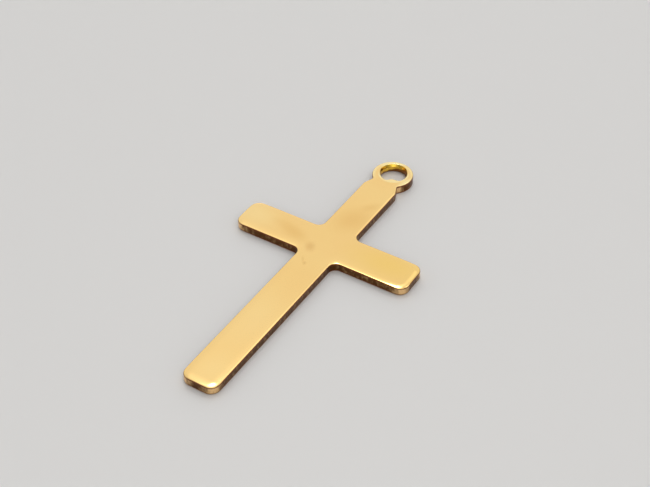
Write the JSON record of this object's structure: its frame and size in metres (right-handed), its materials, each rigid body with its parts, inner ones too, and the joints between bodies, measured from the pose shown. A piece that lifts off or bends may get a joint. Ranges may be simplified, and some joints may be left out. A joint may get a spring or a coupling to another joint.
{
  "type": "cross pendant",
  "caption": "Plain flat Latin cross pendant in one piece of polished gold-coloured metal, with rounded corners and a round drilled eye at its head.",
  "frame": {"origin": "under the middle of the bounding box, on the plane of the back face that the pendant lies on", "axes": "+Y along the stem towards the eye, +X along the arms, +Z out of the front face"},
  "size_m": [0.02, 0.038, 0.001],
  "materials": {
    "polished_gold": "polished, gold-coloured"
  },
  "bodies": {
    "root": {"cross_pendant": "polished_gold"}
  },
  "joints": []
}
